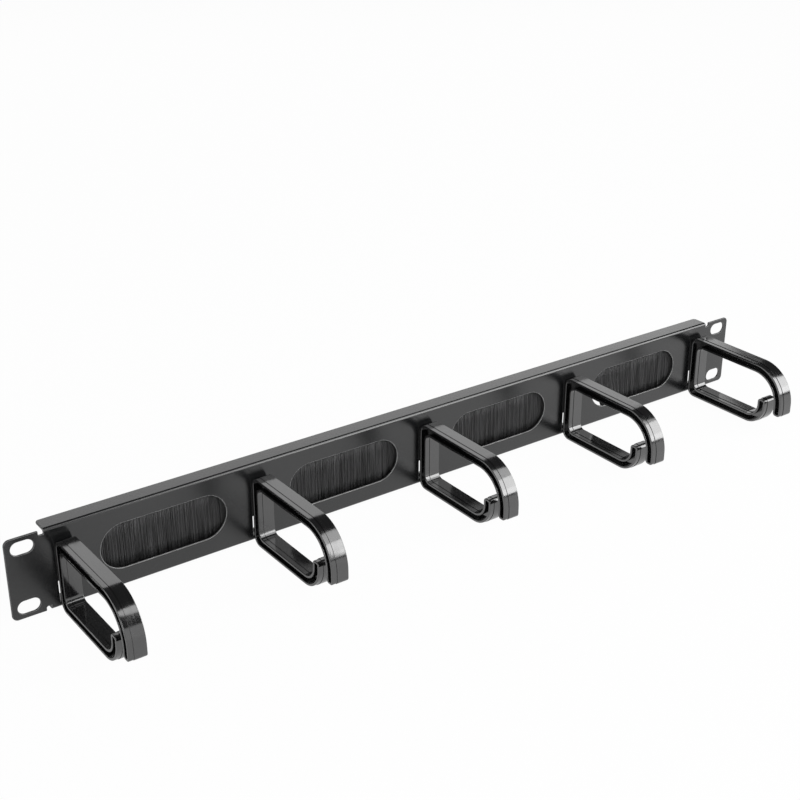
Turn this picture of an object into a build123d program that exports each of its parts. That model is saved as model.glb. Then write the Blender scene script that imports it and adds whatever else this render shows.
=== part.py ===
from build123d import *
import math
import os

# Horizontal cable manager for a 19-inch rack, one rack unit high.
# X runs along the panel, -Y points out of the rack towards the user, +Z is up.
# The origin is on the panel's front face, at the centre of its four rack slots.
# All sizes are in millimetres.

# Panel: one folded steel sheet
PANEL_WIDTH = 482.6
EAR_HEIGHT = 43.5
BODY_HEIGHT = 44.1
SHEET = 1.2
FLANGE_DEPTH = 10.2
BEND_RADIUS = 1.6
FLANGE_CORNER_RADIUS = 2.0
EAR_LENGTH = 19.6
EAR_CORNER_RADIUS = 3.0
RELIEF_WIDTH = 2.5
RELIEF_DEPTH = 2.3
RELIEF_RADIUS = 0.9

# Rack slots in the ears
SLOT_FROM_END = 8.75
SLOT_SPACING_Z = 31.75
SLOT_LENGTH = 11.4
SLOT_HEIGHT = 7.0

# Obround cable openings, one between each two rings
OPENING_LENGTH = 69.0
OPENING_HEIGHT = 24.5

# Cable rings: open D-shaped mouldings of I-section
RING_COUNT = 5
END_RING_INSET = 27.9
RING_SIDESTEP = 1.1
RING_OVERHANG = 1.95
RING_HEIGHT = 39.1
RING_REACH = 74.0
RING_WIDTH = 9.3
BAR = 5.4
RIM = 1.3
WEB = 2.0
BACK_CORNER_RADIUS = 5.0
LOOP_CORNER_RADIUS = 3.8
NOSE_RADIUS = 22.0
LIP_BEND_RADIUS = 8.0
TIP_LIFT = 11.1
LIP_HEIGHT = 17.9
MOUTH_GAP = 6.6
END_RADIUS = 2.0
PARTING_WIDTH = 2.8
PARTING_STEP = 0.25

# Feet that hold a ring in the panel
FOOT_WIDTH = 6.4
FOOT_SIDE_CLEARANCE = 0.3
FOOT_CLEARANCE = 0.2
HOOK_THICKNESS = 2.2
HOOK_RISE = 2.0
HOOK_GRIP = 1.6
HOOK_SLOT_HEIGHT = 4.6
HOOK_SLOT_DROP = 6.0
LATCH_THICKNESS = 2.0
LATCH_CATCH = 0.9
LATCH_LENGTH = 3.2
LATCH_WINDOW_WIDTH = 9.8
LATCH_WINDOW_HEIGHT = 11.2
LATCH_WINDOW_LIFT = 4.7
FOOT_ROOT = 0.6

# Strip brushes behind the openings
STRIP_LENGTH = 76.0
TAPE = 0.5
TAPE_HEIGHT = 5.4
CHANNEL_DEPTH = 5.0
CHANNEL_HEIGHT = 7.0
CHANNEL_WALL = 0.8
CHANNEL_BEND_RADIUS = 1.2
CHANNEL_TOP_GAP = 0.5
LIP_FOLD_HEIGHT = 1.5
LIP_FOLD_IN = 0.4
WIRE_RADIUS = 0.8
WIRE_CLEARANCE = 0.05
PACK_CLEARANCE = 0.1
PACK_MOUTH_CLEARANCE = 0.05
BRISTLE_SPREAD = 3.8
BRISTLE_OVERLAP = 4.6
BUNDLE_WIDTH = 1.9
BUNDLE_WANDER = 0.5
BUNDLE_PHASE = 2.4
BUNDLE_GROOVE = 0.5
LAST_STRIP_SHIFT = 4.6
LAST_STRIP_LEAN = 14.0

body_end = PANEL_WIDTH / 2 - EAR_LENGTH
body_top = BODY_HEIGHT / 2
ear_top = EAR_HEIGHT / 2
slot_spacing_x = PANEL_WIDTH - 2 * SLOT_FROM_END
pitch = (PANEL_WIDTH - 2 * END_RING_INSET) / (RING_COUNT - 1)
inner_bend_radius = BEND_RADIUS - SHEET

ring_bottom = -ear_top - RING_OVERHANG
ring_top = ring_bottom + RING_HEIGHT
hook_slot_top = ring_top - HOOK_SLOT_DROP
hook_slot_bottom = hook_slot_top - HOOK_SLOT_HEIGHT
window_bottom = ring_bottom + LATCH_WINDOW_LIFT
window_top = window_bottom + LATCH_WINDOW_HEIGHT
behind_sheet = SHEET + FOOT_CLEARANCE

channel_front = SHEET + TAPE
channel_middle = channel_front + CHANNEL_DEPTH / 2
channel_top = body_top - SHEET - CHANNEL_TOP_GAP
channel_mouth = channel_top - CHANNEL_HEIGHT
pack_half = CHANNEL_DEPTH / 2 - CHANNEL_WALL - PACK_CLEARANCE
mouth_half = CHANNEL_DEPTH / 2 - CHANNEL_WALL - LIP_FOLD_IN
wire_height = channel_top - CHANNEL_WALL - PACK_CLEARANCE - pack_half
bristle_tip = -OPENING_HEIGHT / 2 - BRISTLE_OVERLAP


def centred_row(count):
    """Places along the panel, one pitch apart and centred on zero."""
    return [(i - (count - 1) / 2) * pitch for i in range(count)]


def rounded_outline(corners):
    """Closed face through (x, y, corner radius) triples."""
    points = [(x, y) for x, y, radius in corners]
    radii = [radius for x, y, radius in corners]
    return make_face(FilletPolyline(*points, radius=radii, close=True))


def along_x(face, start, end):
    """Solid from a side view in Y and Z, from one X to another."""
    return Pos(X=start) * extrude(Plane.YZ * face, amount=end - start)


# Panel

def flanged_body():
    """Front wall with its top and bottom flanges, bent back from one sheet."""
    outside = rounded_outline([
        (0, -body_top, BEND_RADIUS),
        (FLANGE_DEPTH, -body_top, 0),
        (FLANGE_DEPTH, body_top, 0),
        (0, body_top, BEND_RADIUS),
    ])
    inside_top = body_top - SHEET
    inside = rounded_outline([
        (SHEET, -inside_top, inner_bend_radius),
        (2 * FLANGE_DEPTH, -inside_top, 0),
        (2 * FLANGE_DEPTH, inside_top, 0),
        (SHEET, inside_top, inner_bend_radius),
    ])
    section = along_x(outside - inside, -body_end, body_end)
    plan = rounded_outline([
        (-body_end, 0, 0),
        (body_end, 0, 0),
        (body_end, FLANGE_DEPTH, FLANGE_CORNER_RADIUS),
        (-body_end, FLANGE_DEPTH, FLANGE_CORNER_RADIUS),
    ])
    return section & extrude(Plane.XY * plan, amount=body_top, both=True)


def ear(side):
    """Flat ear past the flanges, with bend reliefs where the folds end."""
    end = PANEL_WIDTH / 2
    notch_end = body_end + RELIEF_WIDTH
    notch_floor = ear_top - RELIEF_DEPTH
    face = rounded_outline([
        (body_end, -notch_floor, 0),
        (notch_end, -notch_floor, RELIEF_RADIUS),
        (notch_end, -ear_top, 0),
        (end, -ear_top, EAR_CORNER_RADIUS),
        (end, ear_top, EAR_CORNER_RADIUS),
        (notch_end, ear_top, 0),
        (notch_end, notch_floor, RELIEF_RADIUS),
        (body_end, notch_floor, 0),
    ])
    plate = extrude(Plane.XZ * face, amount=-SHEET)
    if side < 0:
        plate = mirror(plate, about=Plane.YZ)
    return plate


def through_sheet(face, x, z):
    """Cutter that takes a face's shape out of the front wall."""
    return Pos(x, 0, z) * extrude(Plane.XZ * face, amount=SHEET, both=True)


def ring_cutters(x):
    """Hook slot behind the ring, and the wider window that its latch snaps into."""
    hook_slot = Rectangle(FOOT_WIDTH + 2 * FOOT_SIDE_CLEARANCE, HOOK_SLOT_HEIGHT)
    window = Rectangle(LATCH_WINDOW_WIDTH, LATCH_WINDOW_HEIGHT)
    return [
        through_sheet(hook_slot, x, (hook_slot_top + hook_slot_bottom) / 2),
        through_sheet(window, x, (window_top + window_bottom) / 2),
    ]


def panel():
    """The folded panel with every hole punched."""
    sheet = flanged_body() + ear(1) + ear(-1)
    cutters = []
    for x in (-slot_spacing_x / 2, slot_spacing_x / 2):
        for z in (-SLOT_SPACING_Z / 2, SLOT_SPACING_Z / 2):
            cutters.append(through_sheet(SlotOverall(SLOT_LENGTH, SLOT_HEIGHT), x, z))
    for x in centred_row(RING_COUNT - 1):
        cutters.append(through_sheet(SlotOverall(OPENING_LENGTH, OPENING_HEIGHT), x, 0))
    for x in centred_row(RING_COUNT):
        cutters.extend(ring_cutters(x + RING_SIDESTEP))
    return sheet - cutters


# Cable rings

def ring_outline(inset):
    """Side view of a ring, drawn inset all round: base, upper arm, blunt tip, lower arm and lip."""
    back = min(-inset, 0)
    front = -RING_REACH + inset
    arm_inside = -RING_REACH + BAR - inset
    lip_outside = -RING_REACH + BAR + MOUTH_GAP + inset
    lip_inside = -RING_REACH + BAR + MOUTH_GAP + BAR - inset
    loop_back = -BAR + inset
    loop_top = ring_top - BAR + inset
    loop_bottom = ring_bottom + BAR - inset
    top = ring_top - inset
    bottom = ring_bottom + inset
    tip = ring_bottom + TIP_LIFT + inset
    lip_top = ring_bottom + LIP_HEIGHT - inset
    end_radius = max(END_RADIUS - inset, 0)
    return rounded_outline([
        (back, bottom, BACK_CORNER_RADIUS - inset),
        (lip_outside, bottom, LIP_BEND_RADIUS + BAR - inset),
        (lip_outside, lip_top, end_radius),
        (lip_inside, lip_top, end_radius),
        (lip_inside, loop_bottom, LIP_BEND_RADIUS + inset),
        (loop_back, loop_bottom, LOOP_CORNER_RADIUS + inset),
        (loop_back, loop_top, LOOP_CORNER_RADIUS + inset),
        (arm_inside, loop_top, NOSE_RADIUS - BAR + inset),
        (arm_inside, tip, end_radius),
        (front, tip, end_radius),
        (front, top, NOSE_RADIUS - inset),
        (back, top, BACK_CORNER_RADIUS - inset),
    ])


def ring_body():
    """I-section bar: the right mould half stands proud at the parting, and each side is recessed."""
    half = RING_WIDTH / 2
    parting = -half + PARTING_WIDTH
    bar = along_x(ring_outline(0), -half, parting)
    bar += along_x(ring_outline(-PARTING_STEP), parting, half)
    left_recess = along_x(ring_outline(RIM), -half, -WEB / 2)
    right_recess = along_x(ring_outline(RIM - PARTING_STEP), WEB / 2, half)
    return bar - left_recess - right_recess


def hook_foot():
    """Rigid foot that goes up behind the sheet above its slot."""
    top = hook_slot_top - FOOT_CLEARANCE
    bottom = top - HOOK_THICKNESS
    back = behind_sheet + HOOK_GRIP
    side_view = rounded_outline([
        (-FOOT_ROOT, bottom, 0),
        (back, bottom, HOOK_GRIP / 2),
        (back, top + HOOK_RISE, HOOK_GRIP / 4),
        (behind_sheet, top + HOOK_RISE, HOOK_GRIP / 4),
        (behind_sheet, top, 0),
        (-FOOT_ROOT, top, 0),
    ])
    return along_x(side_view, -FOOT_WIDTH / 2, FOOT_WIDTH / 2)


def latch_foot():
    """Tongue whose barb snaps down behind the lower edge of the window."""
    bottom = window_bottom + FOOT_CLEARANCE
    top = bottom + LATCH_THICKNESS
    side_view = rounded_outline([
        (-FOOT_ROOT, bottom, 0),
        (behind_sheet, bottom, 0),
        (behind_sheet, bottom - LATCH_CATCH, 0),
        (LATCH_LENGTH, bottom + FOOT_CLEARANCE, 0),
        (LATCH_LENGTH, top, FOOT_CLEARANCE),
        (-FOOT_ROOT, top, 0),
    ])
    return along_x(side_view, -FOOT_WIDTH / 2, FOOT_WIDTH / 2)


def cable_ring(x):
    """One moulded ring, snapped into its holes."""
    return Pos(X=x + RING_SIDESTEP) * (ring_body() + hook_foot() + latch_foot())


# Strip brushes

def brush_tape(x):
    """Adhesive strip between the channel and the back of the panel."""
    middle = channel_top - CHANNEL_HEIGHT / 2
    return Pos(x, SHEET + TAPE / 2, middle) * Box(STRIP_LENGTH, TAPE, TAPE_HEIGHT)


def brush_channel(x):
    """Folded channel, open downward, with its lips pressed in on the bristles."""
    outer = CHANNEL_DEPTH / 2
    inner = outer - CHANNEL_WALL
    fold = channel_mouth + LIP_FOLD_HEIGHT
    side_view = rounded_outline([
        (channel_middle - outer + LIP_FOLD_IN, channel_mouth, 0),
        (channel_middle - outer, fold, 0),
        (channel_middle - outer, channel_top, CHANNEL_BEND_RADIUS),
        (channel_middle + outer, channel_top, CHANNEL_BEND_RADIUS),
        (channel_middle + outer, fold, 0),
        (channel_middle + outer - LIP_FOLD_IN, channel_mouth, 0),
        (channel_middle + mouth_half, channel_mouth, 0),
        (channel_middle + inner, fold, 0),
        (channel_middle + inner, channel_top - CHANNEL_WALL, CHANNEL_BEND_RADIUS - CHANNEL_WALL),
        (channel_middle - inner, channel_top - CHANNEL_WALL, CHANNEL_BEND_RADIUS - CHANNEL_WALL),
        (channel_middle - inner, fold, 0),
        (channel_middle - mouth_half, channel_mouth, 0),
    ])
    return along_x(side_view, x - STRIP_LENGTH / 2, x + STRIP_LENGTH / 2)


def brush_core_wire(x):
    """Wire inside the channel, with the bristles folded over it."""
    wire = Cylinder(WIRE_RADIUS, STRIP_LENGTH, rotation=(0, 90, 0))
    return Pos(x, channel_middle, wire_height) * wire


def bristle_root(x):
    """Bristles gripped in the channel, looped round the wire."""
    fold = channel_mouth + LIP_FOLD_HEIGHT
    squeezed = mouth_half - PACK_MOUTH_CLEARANCE
    loop = Pos(channel_middle, wire_height) * Circle(pack_half)
    legs = rounded_outline([
        (channel_middle - squeezed, channel_mouth, 0),
        (channel_middle + squeezed, channel_mouth, 0),
        (channel_middle + pack_half, fold, 0),
        (channel_middle + pack_half, wire_height, 0),
        (channel_middle - pack_half, wire_height, 0),
        (channel_middle - pack_half, fold, 0),
    ])
    wire_bore = Pos(channel_middle, wire_height) * Circle(WIRE_RADIUS + WIRE_CLEARANCE)
    return along_x(loop + legs - wire_bore, x - STRIP_LENGTH / 2, x + STRIP_LENGTH / 2)


def bundle_plan(x):
    """Top view of the free bristles: uneven upright bundles with grooves between them."""
    crest = BRISTLE_SPREAD / 2
    valley = crest - BUNDLE_GROOVE
    bundles = round(STRIP_LENGTH / BUNDLE_WIDTH)
    width = STRIP_LENGTH / bundles
    ends = [x - STRIP_LENGTH / 2]
    for i in range(1, bundles):
        wander = BUNDLE_WANDER * width / 2 * math.sin(BUNDLE_PHASE * i * i)
        ends.append(x - STRIP_LENGTH / 2 + i * width + wander)
    ends.append(x + STRIP_LENGTH / 2)
    front = []
    back = []
    for start, end in zip(ends, ends[1:]):
        middle = (start + end) / 2
        front += [(start, channel_middle - valley), (middle, channel_middle - crest)]
        back += [(start, channel_middle + valley), (middle, channel_middle + crest)]
    front.append((ends[-1], channel_middle - valley))
    back.append((ends[-1], channel_middle + valley))
    return make_face(Polyline(*front, *reversed(back), close=True))


def free_bristles(x, lean):
    """Bristles below the channel, spreading to their tips; lean moves the left end's tips in."""
    left = x - STRIP_LENGTH / 2
    right = x + STRIP_LENGTH / 2
    squeezed = mouth_half - PACK_MOUTH_CLEARANCE
    spread = BRISTLE_SPREAD / 2
    side_view = rounded_outline([
        (channel_middle - squeezed, channel_mouth, 0),
        (channel_middle - spread, bristle_tip, 0),
        (channel_middle + spread, bristle_tip, 0),
        (channel_middle + squeezed, channel_mouth, 0),
    ])
    ridges = Pos(Z=bristle_tip) * extrude(Plane.XY * bundle_plan(x), amount=channel_mouth - bristle_tip)
    curtain = along_x(side_view, left, right) & ridges
    if lean > 0:
        swept = rounded_outline([
            (left, channel_mouth, 0),
            (right, channel_mouth, 0),
            (right, bristle_tip, 0),
            (left + lean, bristle_tip, 0),
        ])
        depth = channel_middle + CHANNEL_DEPTH
        curtain = curtain & extrude(Plane.XZ * swept, amount=-depth)
    return curtain


def brush_bristles(x, lean):
    """All the bristles of one strip."""
    return bristle_root(x) + free_bristles(x, lean)


def main():
    os.makedirs("parts", exist_ok=True)
    nodes = {"panel": panel()}
    for number, x in enumerate(centred_row(RING_COUNT), 1):
        nodes[f"cable_ring_{number}"] = cable_ring(x)
    for number, x in enumerate(centred_row(RING_COUNT - 1), 1):
        last = number == RING_COUNT - 1
        strip_x = x + LAST_STRIP_SHIFT if last else x
        lean = LAST_STRIP_LEAN if last else 0
        nodes[f"brush_tape_{number}"] = brush_tape(strip_x)
        nodes[f"brush_channel_{number}"] = brush_channel(strip_x)
        nodes[f"brush_core_wire_{number}"] = brush_core_wire(strip_x)
        nodes[f"brush_bristles_{number}"] = brush_bristles(strip_x, lean)
    for name, shape in nodes.items():
        export_step(shape, f"parts/{name}.step")


main()
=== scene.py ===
import math
import random

import bpy
from mathutils import Matrix, Vector


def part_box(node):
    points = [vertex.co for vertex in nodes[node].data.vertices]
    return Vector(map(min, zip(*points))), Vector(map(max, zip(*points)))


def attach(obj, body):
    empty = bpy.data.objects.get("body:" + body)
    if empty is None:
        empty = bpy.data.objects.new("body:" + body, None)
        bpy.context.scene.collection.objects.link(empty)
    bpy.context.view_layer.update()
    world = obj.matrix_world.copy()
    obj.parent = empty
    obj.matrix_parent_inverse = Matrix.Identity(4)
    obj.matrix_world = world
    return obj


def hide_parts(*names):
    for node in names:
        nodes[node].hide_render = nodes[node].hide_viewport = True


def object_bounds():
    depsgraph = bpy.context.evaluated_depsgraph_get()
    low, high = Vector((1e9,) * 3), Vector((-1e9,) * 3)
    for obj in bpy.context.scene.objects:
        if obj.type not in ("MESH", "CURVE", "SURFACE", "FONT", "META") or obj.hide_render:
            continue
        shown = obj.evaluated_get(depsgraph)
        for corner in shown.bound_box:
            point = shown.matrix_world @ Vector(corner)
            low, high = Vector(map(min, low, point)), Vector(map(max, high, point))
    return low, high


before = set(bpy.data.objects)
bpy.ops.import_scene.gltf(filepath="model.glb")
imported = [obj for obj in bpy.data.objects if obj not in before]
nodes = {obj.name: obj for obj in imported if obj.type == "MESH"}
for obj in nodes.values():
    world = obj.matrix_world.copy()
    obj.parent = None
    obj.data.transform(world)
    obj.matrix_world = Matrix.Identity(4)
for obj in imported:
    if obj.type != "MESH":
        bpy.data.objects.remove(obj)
cad_low, cad_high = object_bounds()
bpy.ops.object.select_all(action="DESELECT")


# Panel
# One sheet of steel, 1.2 mm thick, punched and folded back along its top and bottom edges.
# It is powder coated in semi-gloss black after folding, so its coat runs over every punched
# edge and rounds it slightly.

PUNCHED_EDGE_ROUND = 0.00035
PUNCHED_EDGE_STEPS = 2
PUNCHED_EDGE_ANGLE = math.radians(50)
SMOOTH_ANGLE = math.radians(40)
FLAT_ANGLE = math.radians(0.1)
SAME_PLACE = 0.000001
OPENINGS = 4
OPENING_PITCH = 0.1067
OPENING_LENGTH = 0.069
OPENING_HEIGHT = 0.0245
OPENING_HIGHLIGHT_MARGIN = 0.0005
COAT_BLACK = (0.006, 0.0063, 0.0067, 1)
# painted highlights: lighter greys on the rounded punched edges, brighter still round the openings
EDGE_HIGHLIGHT_GREY = (0.1, 0.1, 0.1, 1)
OPENING_HIGHLIGHT_GREY = (0.22, 0.22, 0.22, 1)

# where the painted highlights of the rounded edges and of the openings' edges stand among the panel's
# materials
EDGE_MATERIAL = 1
OPENING_MATERIAL = 2

# most of a noise's values lie between these
NOISE_LOW = 0.3
NOISE_HIGH = 0.7


def shade_tree(name, colour, roughness):
    """A new material, its node tree, and its shader with one plain colour and roughness."""
    material = bpy.data.materials.new(name)
    material.use_nodes = True
    tree = material.node_tree
    shader = tree.nodes["Principled BSDF"]
    shader.inputs["Base Color"].default_value = colour
    shader.inputs["Roughness"].default_value = roughness
    return material, tree, shader


def noise_on_piece(tree, scale, detail=3.0, stretch=(1, 1, 1)):
    """Noise fixed to the piece: its scale is in waves per metre."""
    place = tree.nodes.new("ShaderNodeTexCoord")
    mapping = tree.nodes.new("ShaderNodeMapping")
    mapping.inputs["Scale"].default_value = stretch
    noise = tree.nodes.new("ShaderNodeTexNoise")
    noise.inputs["Scale"].default_value = scale
    noise.inputs["Detail"].default_value = detail
    tree.links.new(place.outputs["Object"], mapping.inputs["Vector"])
    tree.links.new(mapping.outputs["Vector"], noise.inputs["Vector"])
    return noise


def range_between(tree, source, low, high):
    """A value that follows a noise from low to high."""
    spread = tree.nodes.new("ShaderNodeMapRange")
    spread.inputs["From Min"].default_value = NOISE_LOW
    spread.inputs["From Max"].default_value = NOISE_HIGH
    spread.inputs["To Min"].default_value = low
    spread.inputs["To Max"].default_value = high
    tree.links.new(source.outputs["Fac"], spread.inputs["Value"])
    return spread.outputs["Result"]


def tint_between(tree, source, dark, light):
    """A colour that follows a noise from dark to light."""
    ramp = tree.nodes.new("ShaderNodeValToRGB")
    ramp.color_ramp.elements[0].position = NOISE_LOW
    ramp.color_ramp.elements[0].color = dark
    ramp.color_ramp.elements[1].position = NOISE_HIGH
    ramp.color_ramp.elements[1].color = light
    tree.links.new(source.outputs["Fac"], ramp.inputs["Fac"])
    return ramp.outputs["Color"]


def vary(tree, shader, noise, dark, light, smooth, rough):
    """Lets a noise vary a shader's colour from dark to light and its roughness from smooth to rough."""
    tree.links.new(tint_between(tree, noise, dark, light), shader.inputs["Base Color"])
    tree.links.new(range_between(tree, noise, smooth, rough), shader.inputs["Roughness"])


def add_bump(tree, shader, source, height):
    """Relief on a shader that follows a noise, with its height in metres."""
    bump = tree.nodes.new("ShaderNodeBump")
    bump.inputs["Distance"].default_value = height
    tree.links.new(source.outputs["Fac"], bump.inputs["Height"])
    tree.links.new(bump.outputs["Normal"], shader.inputs["Normal"])


def only(piece):
    """Makes a piece the one selected and active object."""
    bpy.ops.object.select_all(action="DESELECT")
    piece.select_set(True)
    bpy.context.view_layer.objects.active = piece


def welded_copy(node, name):
    """A CAD node's mesh as a closed mesh with whole flat faces, ready for its edges to be rounded."""
    piece = bpy.data.objects.new(name, nodes[node].data.copy())
    bpy.context.scene.collection.objects.link(piece)
    only(piece)
    bpy.ops.object.mode_set(mode="EDIT")
    bpy.ops.mesh.select_all(action="SELECT")
    bpy.ops.mesh.remove_doubles(threshold=SAME_PLACE)
    bpy.ops.mesh.dissolve_limited(angle_limit=FLAT_ANGLE)
    bpy.ops.object.mode_set(mode="OBJECT")
    return piece


def finish_faces(piece):
    """Smooth rounds between faces that stay flat."""
    only(piece)
    bpy.ops.object.shade_smooth_by_angle(angle=SMOOTH_ANGLE)
    flat = piece.modifiers.new("flat_faces", "WEIGHTED_NORMAL")
    flat.keep_sharp = True
    bpy.ops.object.modifier_apply(modifier="flat_faces")


coat, tree, shader = shade_tree("black_powder_coat", COAT_BLACK, roughness=0.3)
shader.inputs["IOR"].default_value = 1.58
shader.inputs["Specular IOR Level"].default_value = 0.67
coat_flow = noise_on_piece(tree, 900, detail=2.0)
add_bump(tree, shader, coat_flow, height=0.000012)
coat_cloud = noise_on_piece(tree, 22, detail=4.0)
vary(tree, shader, coat_cloud, dark=(0.0045, 0.0048, 0.0052, 1), light=(0.0075, 0.0078, 0.0082, 1),
     smooth=0.2, rough=0.26)

# painted highlight: the rounded punched edges get a lighter grey than the coat, its tone and roughness
# varied by a noise
edge_highlight, tree, shader = shade_tree("painted_highlight_on_edges", EDGE_HIGHLIGHT_GREY, roughness=0.35)
edge_highlight_tone = noise_on_piece(tree, 160, detail=4.0)
vary(tree, shader, edge_highlight_tone, dark=(0.06, 0.06, 0.061, 1), light=(0.14, 0.14, 0.141, 1),
     smooth=0.28, rough=0.42)

# painted highlight: a brighter grey on the rounded edges round the openings, its tone and roughness varied
# by a noise
opening_highlight, tree, shader = shade_tree("painted_highlight_round_openings", OPENING_HIGHLIGHT_GREY, roughness=0.3)
opening_highlight_tone = noise_on_piece(tree, 240, detail=4.0)
vary(tree, shader, opening_highlight_tone, dark=(0.15, 0.15, 0.15, 1), light=(0.3, 0.3, 0.3, 1), smooth=0.24, rough=0.38)

panel = welded_copy("panel", "panel_coated")
panel.data.materials.clear()
for material in (coat, edge_highlight, opening_highlight):
    panel.data.materials.append(material)
round_off = panel.modifiers.new("punched_edges", "BEVEL")
# the rounded edges take the painted edge highlight
round_off.material = EDGE_MATERIAL
round_off.width = PUNCHED_EDGE_ROUND
round_off.segments = PUNCHED_EDGE_STEPS
round_off.use_clamp_overlap = False
round_off.limit_method = "ANGLE"
round_off.angle_limit = PUNCHED_EDGE_ANGLE
bpy.ops.object.modifier_apply(modifier="punched_edges")
# the rounded edges within a margin of an opening take the brighter painted highlight
opening_middles = [(i - (OPENINGS - 1) / 2) * OPENING_PITCH for i in range(OPENINGS)]
for face in panel.data.polygons:
    aside = min(abs(face.center.x - middle) for middle in opening_middles) - OPENING_LENGTH / 2
    above = abs(face.center.z) - OPENING_HEIGHT / 2
    if face.material_index == EDGE_MATERIAL and max(aside, above) < OPENING_HIGHLIGHT_MARGIN:
        face.material_index = OPENING_MATERIAL
finish_faces(panel)
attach(panel, "root")
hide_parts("panel")


# Cable rings
# Five open D-shaped rings, each one moulding of glossy black plastic with an I-shaped section.
# The right mould half stands proud of the left, so a fine step runs round the bar. Behind each
# ring, a hook and a latch hold it in its two holes in the panel.

RING_WIDTH = 0.0093
RING_REACH = 0.074
RING_LOW = -0.0237
RING_HIGH = 0.0154
BAR = 0.0054
RIM = 0.0013
WEB = 0.002
BACK_CORNER_RADIUS = 0.005
LOOP_CORNER_RADIUS = 0.0038
NOSE_RADIUS = 0.022
LIP_BEND_RADIUS = 0.008
TIP_LIFT = 0.0111
LIP_HEIGHT = 0.0179
MOUTH_GAP = 0.0066
END_RADIUS = 0.002
PARTING_PLACE = -0.00185
PARTING_STEP = 0.00025
RIM_EDGE_ROUND = 0.0003
RIM_EDGE_STEPS = 3
ARC_STEPS = 7
ARC_STEPS_PER_METRE = 700
FOOT_WIDTH = 0.0064
FOOT_ROOT = -0.0006
BEHIND_SHEET = 0.0014
SLIVER = 0.000015

# the proud half's outline lies one parting step outside the other's
grow = PARTING_STEP
loop_back = -BAR - grow
loop_low = RING_LOW + BAR + grow
loop_high = RING_HIGH - BAR - grow
arm_inside = -RING_REACH + BAR + grow
lip_outside = -RING_REACH + BAR + MOUTH_GAP - grow
lip_inside = -RING_REACH + 2 * BAR + MOUTH_GAP + grow
tip = RING_LOW + TIP_LIFT - grow
lip_top = RING_LOW + LIP_HEIGHT + grow

# side views of the proud half and the feet, as depth, height and corner radius
ring_corners = [
    (0, RING_LOW - grow, BACK_CORNER_RADIUS + grow),
    (lip_outside, RING_LOW - grow, LIP_BEND_RADIUS + BAR + grow),
    (lip_outside, lip_top, END_RADIUS + grow),
    (lip_inside, lip_top, END_RADIUS + grow),
    (lip_inside, loop_low, LIP_BEND_RADIUS - grow),
    (loop_back, loop_low, LOOP_CORNER_RADIUS - grow),
    (loop_back, loop_high, LOOP_CORNER_RADIUS - grow),
    (arm_inside, loop_high, NOSE_RADIUS - BAR - grow),
    (arm_inside, tip, END_RADIUS + grow),
    (-RING_REACH - grow, tip, END_RADIUS + grow),
    (-RING_REACH - grow, RING_HIGH + grow, NOSE_RADIUS + grow),
    (0, RING_HIGH + grow, BACK_CORNER_RADIUS + grow),
]
hook_corners = [
    (FOOT_ROOT, 0.007, 0),
    (0.003, 0.007, 0.0008),
    (0.003, 0.0112, 0.0004),
    (BEHIND_SHEET, 0.0112, 0.0004),
    (BEHIND_SHEET, 0.0092, 0),
    (FOOT_ROOT, 0.0092, 0),
]
latch_corners = [
    (FOOT_ROOT, -0.0188, 0),
    (BEHIND_SHEET, -0.0188, 0),
    (BEHIND_SHEET, -0.0197, 0),
    (0.0032, -0.0186, 0),
    (0.0032, -0.0168, 0.0002),
    (FOOT_ROOT, -0.0168, 0),
]


def pick(piece, kind, wanted):
    """Selects only the vertices or faces that are wanted, and leaves the piece in edit mode."""
    only(piece)
    bpy.ops.object.mode_set(mode="EDIT")
    bpy.ops.mesh.select_mode(type=kind)
    bpy.ops.mesh.select_all(action="DESELECT")
    bpy.ops.object.mode_set(mode="OBJECT")
    for part in piece.data.vertices if kind == "VERT" else piece.data.polygons:
        part.select = wanted(part)
    bpy.ops.object.mode_set(mode="EDIT")


def side_face(corners, x):
    """A flat face at one x from a side view's corners, each rounded to its radius."""
    bpy.ops.mesh.primitive_circle_add(vertices=len(corners), radius=BAR, fill_type="NGON")
    piece = bpy.context.active_object
    for vertex, (depth, height, radius) in zip(piece.data.vertices, corners):
        vertex.co = (x, depth, height)
    for size in sorted({radius for depth, height, radius in corners if radius > 0}):
        places = [Vector((x, depth, height)) for depth, height, radius in corners if radius == size]
        pick(piece, "VERT", lambda vertex: any((vertex.co - place).length < SAME_PLACE for place in places))
        steps = round(ARC_STEPS + size * ARC_STEPS_PER_METRE)
        bpy.ops.mesh.bevel(offset=size, segments=steps, affect="VERTICES")
        bpy.ops.object.mode_set(mode="OBJECT")
    return piece


def pull_across(distance):
    """Pulls the selected side face along x."""
    bpy.ops.mesh.extrude_region_move(TRANSFORM_OT_translate={"value": (distance, 0, 0)})


def lies_at(face, x):
    """Whether a face lies flat across one x."""
    return abs(face.center.x - x) < SAME_PLACE and abs(face.normal.x) > 0.99


def foot(corners, name):
    """One of the ring's feet, as a bar across it."""
    piece = side_face(corners, -FOOT_WIDTH / 2)
    piece.name = name
    bpy.ops.object.mode_set(mode="EDIT")
    bpy.ops.mesh.select_all(action="SELECT")
    pull_across(FOOT_WIDTH)
    bpy.ops.mesh.select_all(action="SELECT")
    bpy.ops.mesh.normals_make_consistent(inside=False)
    bpy.ops.object.mode_set(mode="OBJECT")
    return piece


def nodes_called(start):
    """The names of the CAD nodes that begin with one text, in order."""
    return [node for node in sorted(nodes) if node.startswith(start)]


def dress(piece, node, material):
    """Gives a finished piece its one material and lets it stand for its node."""
    piece.data.materials.clear()
    piece.data.materials.append(material)
    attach(piece, "root")
    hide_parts(node)


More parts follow.
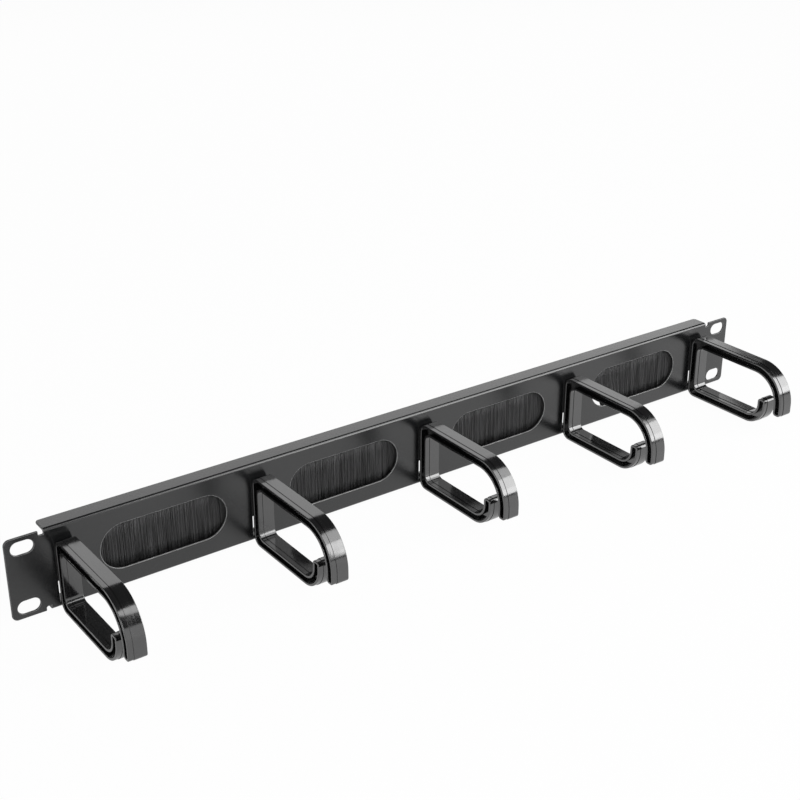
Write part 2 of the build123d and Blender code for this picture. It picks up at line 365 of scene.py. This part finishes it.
half = RING_WIDTH / 2
ring = side_face(ring_corners, half)
ring.name = "ring_model"
pick(ring, "FACE", lambda face: True)
pull_across(PARTING_PLACE - half)
bpy.ops.mesh.inset(thickness=PARTING_STEP, use_even_offset=True)
bpy.ops.object.mode_set(mode="OBJECT")
left_half = max((face for face in ring.data.polygons if lies_at(face, PARTING_PLACE)),
                key=lambda face: len(face.vertices))
left_points = set(left_half.vertices)
pick(ring, "VERT", lambda vertex: vertex.index in left_points and vertex.co.y > -BACK_CORNER_RADIUS)
bpy.ops.transform.resize(value=(1, BACK_CORNER_RADIUS / (BACK_CORNER_RADIUS - PARTING_STEP), 1),
                         center_override=(0, -BACK_CORNER_RADIUS, 0))
bpy.ops.object.mode_set(mode="OBJECT")
pick(ring, "FACE", lambda face: lies_at(face, PARTING_PLACE) and len(face.vertices) == len(left_points))
pull_across(-half - PARTING_PLACE)
bpy.ops.object.mode_set(mode="OBJECT")
for side in (-half, half):
    pick(ring, "FACE", lambda face: lies_at(face, side))
    bpy.ops.mesh.inset(thickness=RIM, use_even_offset=True)
    pull_across(math.copysign(WEB / 2, side) - side)
    bpy.ops.object.mode_set(mode="OBJECT")
pick(ring, "FACE", lambda face: True)
bpy.ops.mesh.remove_doubles(threshold=SAME_PLACE)
bpy.ops.mesh.normals_make_consistent(inside=False)
bpy.ops.object.mode_set(mode="OBJECT")
for side in (-half, half):
    pick(ring, "FACE", lambda face: lies_at(face, side))
    bpy.ops.mesh.region_to_loop()
    bpy.ops.mesh.bevel(offset=RIM_EDGE_ROUND, segments=RIM_EDGE_STEPS, affect="EDGES")
    bpy.ops.object.mode_set(mode="OBJECT")
for corners, name in ((hook_corners, "hook"), (latch_corners, "latch")):
    tongue = foot(corners, name)
    only(ring)
    merge = ring.modifiers.new(name, "BOOLEAN")
    merge.operation = "UNION"
    merge.solver = "EXACT"
    merge.object = tongue
    bpy.ops.object.modifier_apply(modifier=name)
    bpy.data.objects.remove(tongue)
pick(ring, "VERT", lambda vertex: True)
bpy.ops.mesh.remove_doubles(threshold=SLIVER)
bpy.ops.object.mode_set(mode="OBJECT")
finish_faces(ring)

plastic, tree, shader = shade_tree("glossy_black_plastic", (0.007, 0.007, 0.0075, 1), roughness=0.16)
shader.inputs["IOR"].default_value = 1.65
shader.inputs["Specular IOR Level"].default_value = 1.0
flow_lines = noise_on_piece(tree, 1100, detail=4.0, stretch=(1, 0.06, 0.06))
add_bump(tree, shader, flow_lines, height=0.000008)
vary(tree, shader, flow_lines, dark=(0.004, 0.004, 0.0043, 1), light=(0.007, 0.007, 0.0074, 1),
     smooth=0.09, rough=0.18)

for node in nodes_called("cable_ring_"):
    low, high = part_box(node)
    copy = bpy.data.objects.new(node + "_moulded", ring.data.copy())
    copy.data.transform(Matrix.Translation(((low.x + high.x) / 2, 0, 0)))
    bpy.context.scene.collection.objects.link(copy)
    dress(copy, node, plastic)
bpy.data.objects.remove(ring)


# Adhesive tapes
# A strip of black foam tape holds each brush channel to the back of the panel. It is soft, matt and
# full of fine cells, which show at its cut edges.


def cover(start, material):
    """Gives like CAD nodes their material and leaves their shapes as they are."""
    for node in nodes_called(start):
        nodes[node].data.materials.clear()
        nodes[node].data.materials.append(material)


foam, tree, shader = shade_tree("black_foam_tape", (0.02, 0.02, 0.02, 1), roughness=0.85)
cells = noise_on_piece(tree, 2600, detail=2.0)
add_bump(tree, shader, cells, height=0.00005)
tree.links.new(tint_between(tree, cells, (0.014, 0.014, 0.014, 1), (0.03, 0.03, 0.03, 1)),
               shader.inputs["Base Color"])
cover("brush_tape_", foam)


# Brush channels and core wires
# A folded channel of galvanised steel grips each brush. Inside it, the bristles are folded over a
# drawn steel wire, whose cut ends show at the ends of the strip.

zinc, tree, shader = shade_tree("galvanised_steel", (0.5, 0.51, 0.52, 1), roughness=0.42)
shader.inputs["Metallic"].default_value = 1.0
spangle = noise_on_piece(tree, 180, detail=1.0)
vary(tree, shader, spangle, dark=(0.42, 0.43, 0.44, 1), light=(0.56, 0.57, 0.58, 1),
     smooth=0.34, rough=0.5)
add_bump(tree, shader, spangle, height=0.00002)
cover("brush_channel_", zinc)

drawn, tree, shader = shade_tree("drawn_steel_wire", (0.42, 0.42, 0.42, 1), roughness=0.35)
shader.inputs["Metallic"].default_value = 1.0
draw_lines = noise_on_piece(tree, 3000, detail=2.0, stretch=(0.02, 1, 1))
vary(tree, shader, draw_lines, dark=(0.34, 0.34, 0.34, 1), light=(0.5, 0.5, 0.5, 1),
     smooth=0.25, rough=0.45)
cover("brush_core_wire_", drawn)


# Bristles
# Thousands of black nylon filaments, each about a quarter of a millimetre thick, hang from the
# channel's mouth. They gather in uneven bundles towards their tips. On the last strip the left
# end's tips lean inwards.

FILAMENT_RADIUS = 0.00013
FILAMENTS_ACROSS = 350
FILAMENT_ROWS = 9
FILAMENT_BOW = 1.1
BOW_JOINTS = (-0.33, -0.67)
ROOT_DEPTH = 0.0011
ROOT_IN_CHANNEL = 0.001
END_MARGIN = 0.0003
BACK_MARGIN = FILAMENT_RADIUS * 1.5
BUNDLE_WIDTH = 0.0019
BUNDLE_ASIDE = 0.3
BUNDLE_FORWARD = 0.25
GATHER = 0.3
TIP_SCATTER = 0.00012
TIP_UNEVEN = 0.0009
LAST_STRIP_LEAN = 0.014
LAST_STRIP_LEAN_REACH = 0.03

nylon, tree, shader = shade_tree("black_nylon_bristle", (0.02, 0.02, 0.02, 1), roughness=0.38)
shader.inputs["IOR"].default_value = 1.53
bundle_tone = noise_on_piece(tree, 1700, detail=3.0, stretch=(1, 0.4, 0.02))
vary(tree, shader, bundle_tone, dark=(0.006, 0.006, 0.006, 1), light=(0.094, 0.094, 0.096, 1),
     smooth=0.3, rough=0.5)
crimp = noise_on_piece(tree, 2200, detail=1.0)
add_bump(tree, shader, crimp, height=0.00001)


def filament_shape():
    """A three-sided filament, one unit long and one unit in radius, bowed and hung from the origin."""
    bpy.ops.mesh.primitive_cylinder_add(vertices=3, radius=1, depth=1, location=(0, 0, -0.5))
    shape = bpy.context.active_object
    bpy.ops.object.transform_apply(location=True, rotation=True, scale=True)
    bpy.ops.object.mode_set(mode="EDIT")
    for height in BOW_JOINTS:
        bpy.ops.mesh.select_all(action="SELECT")
        bpy.ops.mesh.bisect(plane_co=(0, 0, height), plane_no=(0, 0, 1))
    bpy.ops.object.mode_set(mode="OBJECT")
    for vertex in shape.data.vertices:
        vertex.co.x += FILAMENT_BOW * math.sin(math.pi * -vertex.co.z)
    return shape


def hang(shape, root, tip, turn):
    """A copy of the filament's mesh from root to tip, turned about its own length."""
    length = tip - root
    size = FILAMENT_RADIUS
    place = Matrix((
        (size, 0, -length.x, root.x),
        (0, size, -length.y, root.y),
        (0, 0, -length.z, root.z),
        (0, 0, 0, 1),
    ))
    copy = shape.data.copy()
    copy.transform(place @ Matrix.Rotation(turn, 4, "Z"))
    return copy


filament = filament_shape()
bristle_nodes = nodes_called("brush_bristles_")
for number, node in enumerate(bristle_nodes, 1):
    chance = random.Random(number)
    low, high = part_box(node)
    channel_low, channel_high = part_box(node.replace("bristles", "channel"))
    mouth = channel_low.z
    middle = (channel_low.y + channel_high.y) / 2
    tip_depth = high.y - middle - BACK_MARGIN
    width = high.x - low.x
    bundles = round(width / BUNDLE_WIDTH)
    centres = []
    for i in range(bundles):
        aside = chance.uniform(-BUNDLE_ASIDE, BUNDLE_ASIDE)
        centres.append(low.x + (i + 0.5 + aside) * width / bundles)
    depths = [chance.uniform(-BUNDLE_FORWARD, BUNDLE_FORWARD) for i in range(bundles)]
    lengths = [chance.uniform(0, TIP_UNEVEN / 2) for i in range(bundles)]
    lean = LAST_STRIP_LEAN if number == len(bristle_nodes) else 0
    copies = []
    for row in range(FILAMENT_ROWS):
        for i in range(FILAMENTS_ACROSS):
            across = low.x + (i + chance.uniform(0.1, 0.9)) * width / FILAMENTS_ACROSS
            deep = (row + chance.uniform(0.1, 0.9)) / FILAMENT_ROWS * 2 - 1
            nearest = min(range(bundles), key=lambda bundle: abs(centres[bundle] - across))
            gather = chance.uniform(0, GATHER)
            tip_x = across + (centres[nearest] - across) * gather + chance.gauss(0, TIP_SCATTER)
            fade = max(0, 1 - (across - low.x) / LAST_STRIP_LEAN_REACH)
            tip_x += lean * fade * chance.uniform(0.9, 1.0)
            tip_x = min(max(tip_x, low.x + END_MARGIN), high.x - END_MARGIN)
            across = min(max(across, low.x + END_MARGIN), high.x - END_MARGIN)
            tip_y = middle + tip_depth * max(-1, min(1, deep + depths[nearest] * gather))
            tip_z = low.z + lengths[nearest] + chance.uniform(0, TIP_UNEVEN / 2)
            root = Vector((across, middle + ROOT_DEPTH * deep, mouth + ROOT_IN_CHANNEL))
            turn = chance.uniform(0, 2 * math.pi)
            copies.append(hang(filament, root, Vector((tip_x, tip_y, tip_z)), turn))
    bpy.ops.object.select_all(action="DESELECT")
    strands = [bpy.data.objects.new("strand", copy) for copy in copies]
    for strand in strands:
        bpy.context.scene.collection.objects.link(strand)
        strand.select_set(True)
    bristles = strands[0]
    bpy.context.view_layer.objects.active = bristles
    bpy.ops.object.join()
    bristles.name = node + "_filaments"
    bpy.ops.object.shade_smooth()
    dress(bristles, node, nylon)
bpy.data.objects.remove(filament)


# Studio
# A dim room with a pale floor just under the rings and a pale wall all round. Two softboxes to the
# front right stand over a black card, and two more fill the front and the left. A wide one behind
# lights the top faces, and a low strip behind to the left draws the rims.

FLOOR_CLEARANCE = 0.0002
WALL_DISTANCE = 6
WALL_HEIGHT = 2.2
WALL_SIDES = 96
LAMP_DISTANCE = 1.6
CARD_DISTANCE = 1.5
CARD_WIDTH = 1.5
CARD_HEIGHT = 0.09

# glossy pieces see the floor glow less towards the part's left end
FLOOR_GLOW = 0.97
DIMMED_GLOW = 0.45
DIMMED_LEFT = -0.22
DIMMED_RIGHT = 0.26

floor_height = cad_low.z - FLOOR_CLEARANCE
ground, tree, shader = shade_tree("pale_floor", (0.9, 0.9, 0.9, 1), roughness=0.6)
shader.inputs["Specular IOR Level"].default_value = 0.0


def work_out(tree, operation, first, second):
    """One sum in a material, on a socket and either another socket or a number."""
    answer = tree.nodes.new("ShaderNodeMath")
    answer.operation = operation
    tree.links.new(first, answer.inputs[0])
    if isinstance(second, float):
        answer.inputs[1].default_value = second
    else:
        tree.links.new(second, answer.inputs[1])
    return answer.outputs["Value"]


path = tree.nodes.new("ShaderNodeLightPath")
place = tree.nodes.new("ShaderNodeTexCoord")
along = tree.nodes.new("ShaderNodeSeparateXYZ")
tree.links.new(place.outputs["Object"], along.inputs["Vector"])
dimmed = tree.nodes.new("ShaderNodeMapRange")
dimmed.inputs["From Min"].default_value = DIMMED_LEFT
dimmed.inputs["From Max"].default_value = DIMMED_RIGHT
dimmed.inputs["To Min"].default_value = DIMMED_GLOW
dimmed.inputs["To Max"].default_value = FLOOR_GLOW
tree.links.new(along.outputs["X"], dimmed.inputs["Value"])
seen = work_out(tree, "MAXIMUM", path.outputs["Is Camera Ray"], path.outputs["Is Transmission Ray"])
to_camera = work_out(tree, "MULTIPLY", seen, FLOOR_GLOW)
in_gloss = work_out(tree, "MULTIPLY", path.outputs["Is Glossy Ray"], dimmed.outputs["Result"])
glow = tree.nodes.new("ShaderNodeEmission")
mix = tree.nodes.new("ShaderNodeMixShader")
tree.links.new(work_out(tree, "MAXIMUM", to_camera, in_gloss), mix.inputs["Fac"])
tree.links.new(shader.outputs["BSDF"], mix.inputs[1])
tree.links.new(glow.outputs["Emission"], mix.inputs[2])
tree.links.new(mix.outputs["Shader"], tree.nodes["Material Output"].inputs["Surface"])

bpy.ops.mesh.primitive_circle_add(vertices=WALL_SIDES, radius=WALL_DISTANCE, fill_type="NGON",
                                  location=(0, 0, floor_height))
floor = bpy.context.active_object
floor.name = "floor"
bpy.ops.mesh.primitive_cylinder_add(vertices=WALL_SIDES, radius=WALL_DISTANCE, depth=WALL_HEIGHT,
                                    end_fill_type="NOTHING",
                                    location=(0, 0, floor_height + WALL_HEIGHT / 2))
wall = bpy.context.active_object
wall.name = "wall"
for surface in (floor, wall):
    surface.data.materials.append(ground)

world = bpy.data.worlds.new("dim_room")
bpy.context.scene.world = world
world.use_nodes = True
room = world.node_tree.nodes["Background"]
room.inputs["Color"].default_value = (1, 1, 1, 1)
room.inputs["Strength"].default_value = 0.05


def away_from_object(azimuth, elevation):
    """Direction from the object; azimuth 0 is in front of it and 90 to its right."""
    around = math.radians(azimuth)
    up = math.radians(elevation)
    return Vector((math.sin(around) * math.cos(up), -math.cos(around) * math.cos(up), math.sin(up)))


def softbox(name, azimuth, elevation, width, height, watts):
    """A rectangular lamp aimed at the object."""
    lamp = bpy.data.lights.new(name, "AREA")
    lamp.shape = "RECTANGLE"
    lamp.size = width
    lamp.size_y = height
    lamp.energy = watts
    holder = bpy.data.objects.new(name, lamp)
    away = away_from_object(azimuth, elevation)
    holder.location = away * LAMP_DISTANCE
    holder.rotation_euler = away.to_track_quat("Z", "Y").to_euler()
    holder.visible_camera = False
    bpy.context.scene.collection.objects.link(holder)


softbox("key_softbox", azimuth=45, elevation=25, width=1.2, height=1.0, watts=19)
softbox("upper_softbox", azimuth=45, elevation=53, width=1.1, height=0.55, watts=4.8)
softbox("back_softbox", azimuth=151, elevation=27, width=1.5, height=0.8, watts=4.3)
softbox("rim_strip", azimuth=-150, elevation=11, width=0.8, height=0.2, watts=1.4)
softbox("front_fill", azimuth=-15, elevation=28, width=0.7, height=0.7, watts=8)
softbox("left_softbox", azimuth=-75, elevation=40, width=0.6, height=0.8, watts=4)

card_black, tree, shader = shade_tree("black_card", (0.01, 0.01, 0.01, 1), roughness=0.9)
away = away_from_object(azimuth=45, elevation=5)
bpy.ops.mesh.primitive_plane_add(size=1, location=away * CARD_DISTANCE,
                                 rotation=away.to_track_quat("Z", "Y").to_euler())
card = bpy.context.active_object
card.name = "black_card"
card.scale = (CARD_WIDTH, CARD_HEIGHT, 1)
card.data.materials.append(card_black)
card.visible_camera = False

# the camera stands where the photograph was taken from
camera_data = bpy.data.cameras.new("photo_camera")
camera_data.lens = 63.414
camera_data.sensor_width = 36
camera = bpy.data.objects.new("photo_camera", camera_data)
camera.location = (-0.42073, -0.55869, 0.35058)
camera.rotation_euler = (math.radians(65.262), 0, math.radians(-35.857))
bpy.context.scene.collection.objects.link(camera)
bpy.context.scene.camera = camera
bpy.context.scene.view_settings.view_transform = "Standard"
